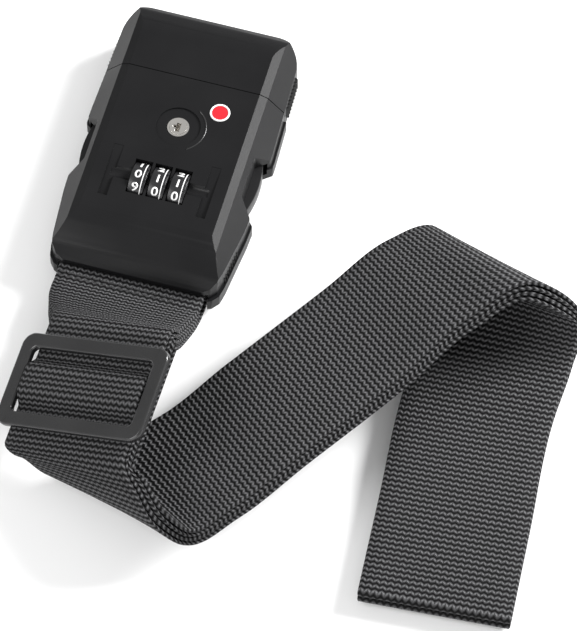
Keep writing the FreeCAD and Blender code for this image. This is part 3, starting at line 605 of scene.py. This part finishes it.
# %% Wrap the digits round each drum
first_shown = (0, 1, 1)
for number in (1, 2, 3):
    low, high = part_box("dial_%d" % number)
    hub = (low + high) / 2
    drum_radius = (high.y - low.y) / 2 - 0.05 * MM
    rim = bmesh.new()
    for place_no in range(10):
        phase = math.radians(36 * place_no)
        source = flat_digits[(first_shown[number - 1] + place_no) % 10].data
        offset = len(rim.verts)
        rim.from_mesh(source)
        rim.verts.ensure_lookup_table()
        for vert in rim.verts[offset:]:
            angle = phase + vert.co.y / drum_radius
            radius = drum_radius + vert.co.z
            vert.co = Vector((hub.x - 0.35 * MM + vert.co.x * 1.15, hub.y + radius * math.sin(angle),
                              hub.z + radius * math.cos(angle)))
    data = bpy.data.meshes.new("dial_digits_%d" % number)
    rim.to_mesh(data)
    rim.free()
    digits = bpy.data.objects.new(data.name, data)
    bpy.context.scene.collection.objects.link(digits)
    data.materials.append(print_white)
    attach(digits, "dial_%d" % number)
for piece in flat_digits:
    bpy.data.objects.remove(piece)
print("digits on 3 dials")

# %% White line beside the digits on each drum
for number in (1, 2, 3):
    low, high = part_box("dial_%d" % number)
    hub = (low + high) / 2
    drum_radius = (high.y - low.y) / 2
    start_clean()
    bpy.ops.mesh.primitive_cylinder_add(vertices=96, radius=drum_radius + 0.03 * MM, depth=0.3 * MM,
                                        end_fill_type="NOTHING",
                                        location=(high.x - 1.15 * MM, hub.y, hub.z),
                                        rotation=(0, math.pi / 2, 0))
    line = settle(name_it("dial_line_%d" % number))
    wall = line.modifiers.new("wall", "SOLIDIFY")
    wall.thickness = 0.1 * MM
    wall.offset = -1.0
    bpy.ops.object.modifier_apply(modifier="wall")
    bpy.ops.object.shade_smooth_by_angle(angle=math.radians(40))
    line.data.materials.append(print_white)
    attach(line, "dial_%d" % number)
print("lines on 3 dials")

# %% [markdown]
# ## Marks on the crown
# Beside the key plug the moulding has a raised arc, and the round inlay sits in a white rim.
# Both are thin rings made from a torus. The arc is cut to the stretch that is there.

# %% Raised arc beside the key
def ring(name, centre, radius, thickness):
    start_clean()
    bpy.ops.mesh.primitive_torus_add(major_segments=96, minor_segments=12, major_radius=radius * MM,
                                     minor_radius=thickness * MM, location=centre)
    return settle(name_it(name))


plug = middle("key_plug")
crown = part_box("case_top")[1].z
arc = ring("key_arc", (plug.x, plug.y, crown - 0.05 * MM), 9.4, 0.28)
bpy.ops.object.mode_set(mode="EDIT")
bpy.ops.mesh.select_all(action="SELECT")
bpy.ops.mesh.bisect(plane_co=(plug.x + 5.2 * MM, plug.y, 0), plane_no=(1, 0, 0),
                    clear_inner=True, use_fill=True)
bpy.ops.object.mode_set(mode="OBJECT")
bpy.ops.object.shade_smooth()
arc.data.materials.append(finishes["glide_plastic"])
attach(arc, "lock_case")

rim_centre = middle("crown_inlay")
inlay_rim = ring("inlay_rim", (rim_centre.x, rim_centre.y, crown + 0.02 * MM), 3.1, 0.34)
bpy.ops.object.shade_smooth()
inlay_rim.data.materials.append(print_white)
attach(inlay_rim, "lock_case")
print("arc and rim made")

# %% [markdown]
# ## Table and light
# A plain pale table carries the strap. A strong soft light from the back right lights the slanted
# side as a lighter grey band, and weaker ones from the front left and the front fill the rest.

# %% Table
start_clean()
bpy.ops.mesh.primitive_plane_add(size=4.0, location=(0.05, -0.04, -0.0003))
table = name_it("table")
table_paint = bpy.data.materials.new("table_white")
table_paint.use_nodes = True
table_shader = table_paint.node_tree.nodes["Principled BSDF"]
table_shader.inputs["Base Color"].default_value = (0.86, 0.86, 0.86, 1)
table_shader.inputs["Roughness"].default_value = 0.9
table.data.materials.append(table_paint)

# %% Lights
def soft_light(name, at, aim, size, power):
    data = bpy.data.lights.new(name, "AREA")
    data.shape = "DISK"
    data.size = size
    data.energy = power
    lamp = bpy.data.objects.new(name, data)
    bpy.context.scene.collection.objects.link(lamp)
    lamp.location = at
    lamp.rotation_euler = (Vector(aim) - Vector(at)).to_track_quat("-Z", "Y").to_euler()
    return lamp


soft_light("key_light", (-0.8, -0.45, 0.8), (0.05, -0.04, 0), 0.7, 9.0)
soft_light("side_light", (0.95, 0.66, 0.70), (0.03, -0.02, 0), 0.6, 44.0)
soft_light("front_light", (0.1, -0.95, 0.45), (0.05, -0.08, 0), 0.8, 4.0)
world = bpy.data.worlds.new("studio")
world.use_nodes = True
world.node_tree.nodes["Background"].inputs["Color"].default_value = (1, 1, 1, 1)
world.node_tree.nodes["Background"].inputs["Strength"].default_value = 0.5
bpy.context.scene.world = world
bpy.context.scene.view_settings.view_transform = "Standard"
print("lights 3")
